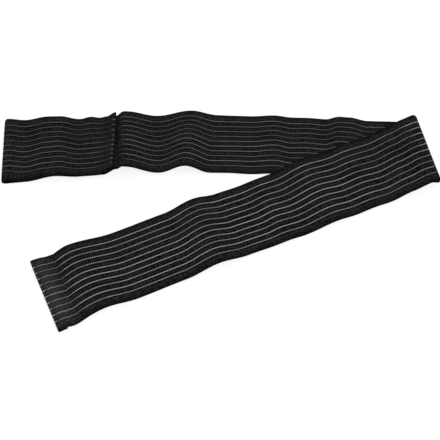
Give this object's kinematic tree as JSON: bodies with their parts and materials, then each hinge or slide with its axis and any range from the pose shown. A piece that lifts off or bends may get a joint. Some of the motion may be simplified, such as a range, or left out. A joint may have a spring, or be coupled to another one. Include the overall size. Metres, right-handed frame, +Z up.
{
  "type": "ankle wrap",
  "caption": "Long woven elastic ankle wrap lying flat and folded over itself, with a sewn foot loop at one end and hook tape under the free end to close it.",
  "frame": {"origin": "bottom centre of the wrap's box, on the surface that it lies on", "axes": "+X along the wrap from the foot loop to the fold, +Y away from the free end, +Z up from the surface"},
  "size_m": [0.3574, 0.2567, 0.0123],
  "materials": {
    "woven_elastic": "matte black ribbed elastic with pale lengthwise yarns",
    "hook_tape": "black nylon hook tape"
  },
  "bodies": {
    "root": {"elastic_band": "woven_elastic", "hook_patch": "hook_tape"}
  },
  "joints": []
}
